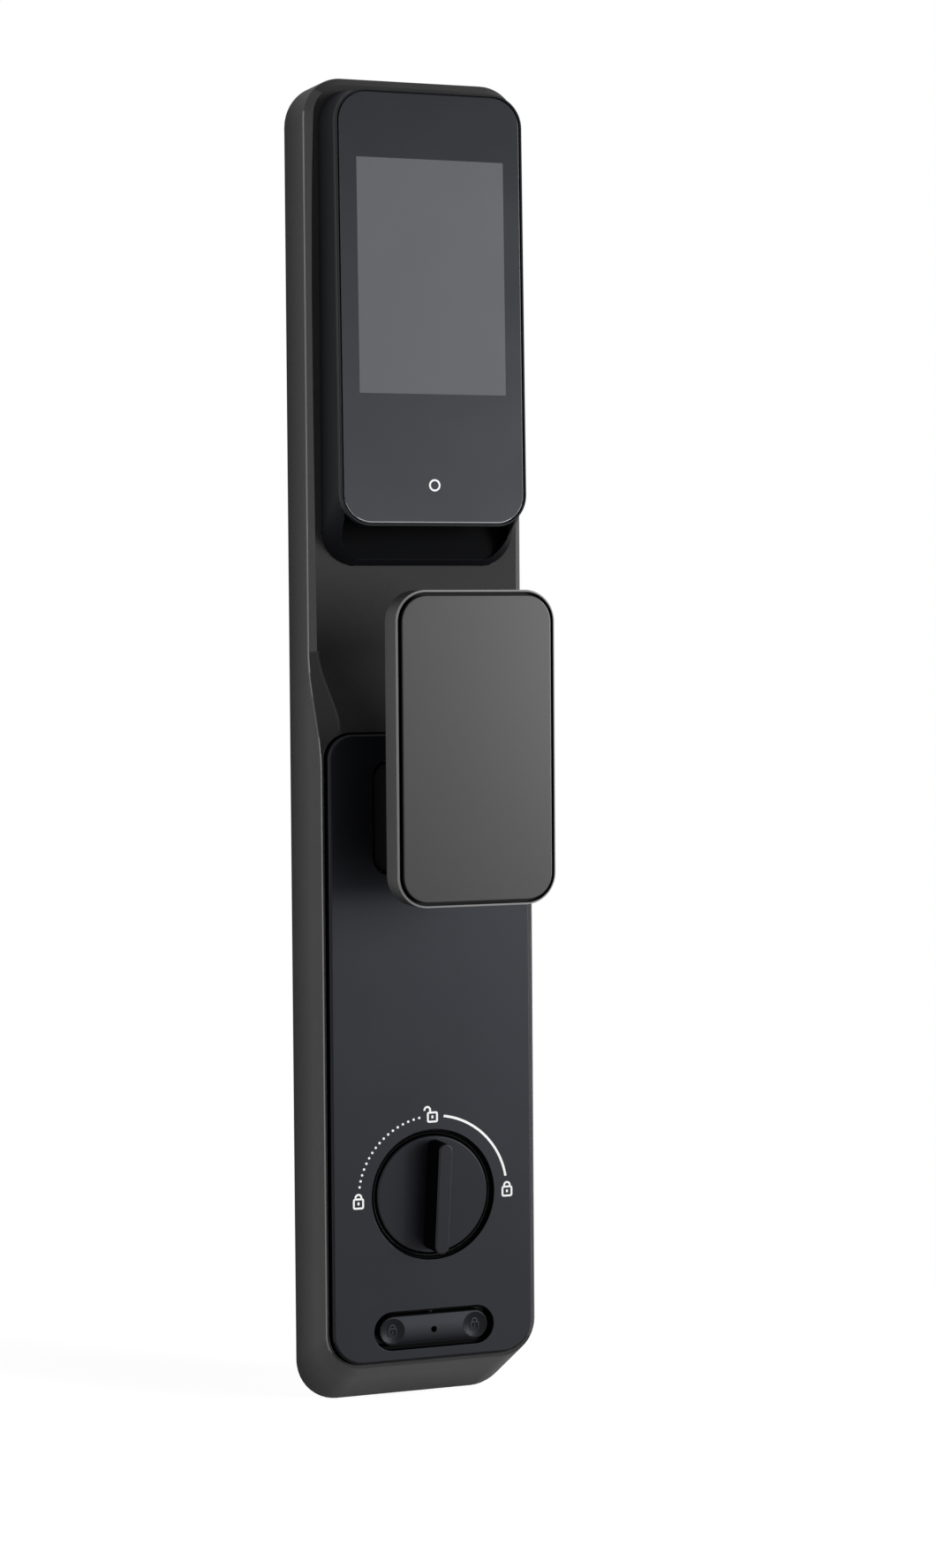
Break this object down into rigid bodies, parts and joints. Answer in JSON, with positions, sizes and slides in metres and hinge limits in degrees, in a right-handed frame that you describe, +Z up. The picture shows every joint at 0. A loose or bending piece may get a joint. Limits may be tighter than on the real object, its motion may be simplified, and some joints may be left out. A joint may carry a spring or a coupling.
{
  "type": "push-pull smart lock, indoor half",
  "caption": "Tall indoor half of a push-pull smart door lock: screen module, swinging handle, thumbturn and a lock and unlock rocker.",
  "frame": {"origin": "middle of the face that lies on the door, halfway up and across the casing", "axes": "+X to the right of a person who stands in front of the lock, +Y into the door, +Z up"},
  "size_m": [0.0744, 0.07, 0.4221],
  "materials": {
    "graphite_casting": "fine-grained matte graphite paint on a die casting",
    "plated_steel": "zinc-plated sheet steel",
    "seal_rubber": "closed-cell rubber",
    "black_screws": "blackened steel",
    "module_plastic": "near-black satin plastic",
    "module_bezel": "dark satin aluminium",
    "smoked_glass": "smoked cover glass with a dark print behind it",
    "display": "unlit grey display",
    "circuit_board": "green solder mask",
    "chips": "moulded black resin",
    "connector_plastic": "natural moulded plastic",
    "ribbon_film": "amber film",
    "speaker_can": "pressed can",
    "panel_satin": "smooth satin blue-black paint",
    "handle_satin": "satin anodised aluminium",
    "handle_plate": "satin anodised aluminium plate",
    "stem_black": "matte black paint",
    "bracket_steel": "pressed steel",
    "hard_steel": "ground steel",
    "bushing_brass": "turned brass",
    "spring_steel": "spring wire",
    "battery_wrap": "wrapped cells",
    "inner_plastic": "moulded black plastic",
    "gear_plastic": "natural acetal",
    "knob_metal": "satin dark grey paint",
    "button_satin": "satin dark grey paint",
    "bezel_metal": "dark satin ring"
  },
  "bodies": {
    "base": {"casing": "graphite_casting", "mounting_plate": "plated_steel", "plate_posts": "plated_steel", "board_posts": "plated_steel", "back_gasket": "seal_rubber", "casing_screws": "black_screws", "screen_housing": "module_plastic", "screen_bezel": "module_bezel", "cover_glass": "smoked_glass", "display_panel": "display", "display_board": "circuit_board", "main_board": "circuit_board", "board_chips": "chips", "board_connectors": "connector_plastic", "display_ribbon": "ribbon_film", "board_screws": "black_screws", "screen_screws": "black_screws", "speaker": "speaker_can", "lower_panel": "panel_satin", "pivot_bracket": "bracket_steel", "bracket_screws": "black_screws", "pivot_pin": "hard_steel", "hub_bushing": "bushing_brass", "slider_frame": "inner_plastic", "slider_cover": "plated_steel", "cover_screws": "black_screws", "lower_spring": "spring_steel", "upper_spring": "spring_steel", "thumbturn_bezel": "bezel_metal", "thumbturn_bushing": "bushing_brass", "rotary_sensor": "chips", "sensor_board": "circuit_board", "battery_cradle": "inner_plastic", "battery_pack": "battery_wrap", "rocker_frame": "inner_plastic", "button_board": "circuit_board", "rocker_switches": "connector_plastic", "reset_switch": "chips"},
    "handle": {"handle_frame": "handle_satin", "handle_insert": "handle_plate", "handle_stem": "stem_black", "handle_screws": "black_screws", "drive_arm": "bracket_steel", "arm_screws": "black_screws", "drive_pin": "hard_steel"},
    "slider": {"drive_slider": "bracket_steel"},
    "hub": {"spindle_hub": "hard_steel", "crank_pin": "hard_steel"},
    "thumbturn": {"thumbturn_knob": "knob_metal", "thumbturn_shaft": "hard_steel", "shaft_clip": "spring_steel", "thumb_gear": "gear_plastic"},
    "sensor": {"sensor_gear": "gear_plastic"},
    "rocker": {"lock_rocker": "button_satin", "rocker_pins": "black_screws"},
    "reset": {"reset_plunger": "connector_plastic"}
  },
  "joints": [
    {"name": "handle_swing", "type": "hinge", "parent": "base", "child": "handle", "pos_m": [0, -0.0238, -0.02235], "axis": [1, 0, 0], "range_deg": [-7, 7], "stiffness_Nm_per_rad": 10, "springref_deg": -0.52},
    {"name": "slider_travel", "type": "slide", "parent": "base", "child": "slider", "axis": [0, 0, 1], "range_m": [-0.0022, 0.0022], "deforming": ["lower_spring", "upper_spring"]},
    {"name": "hub_turn", "type": "hinge", "parent": "base", "child": "hub", "pos_m": [0, -0.0044, -0.05], "axis": [0, 1, 0], "range_deg": [-13, 13]},
    {"name": "thumbturn_turn", "type": "hinge", "parent": "base", "child": "thumbturn", "pos_m": [0, -0.0207, -0.1429], "axis": [0, 1, 0], "range_deg": [-93, 87]},
    {"name": "sensor_turn", "type": "hinge", "parent": "base", "child": "sensor", "pos_m": [0, -0.013, -0.1629], "axis": [0, 1, 0], "range_deg": [-170, 170]},
    {"name": "rocker_tilt", "type": "hinge", "parent": "base", "child": "rocker", "pos_m": [0, -0.0249, -0.18575], "axis": [0, 0, 1], "range_deg": [-2.5, 2.5], "stiffness_Nm_per_rad": 0.06},
    {"name": "reset_press", "type": "slide", "parent": "base", "child": "reset", "axis": [0, 1, 0], "range_m": [0, 0.0004], "stiffness_N_per_m": 100}
  ],
  "couplings": [
    {"joint": "slider_travel", "follows": "handle_swing", "m_per_rad": 0.0174},
    {"joint": "hub_turn", "follows": "handle_swing", "ratio": -1.8125},
    {"joint": "sensor_turn", "follows": "thumbturn_turn", "ratio": -1.7778}
  ]
}
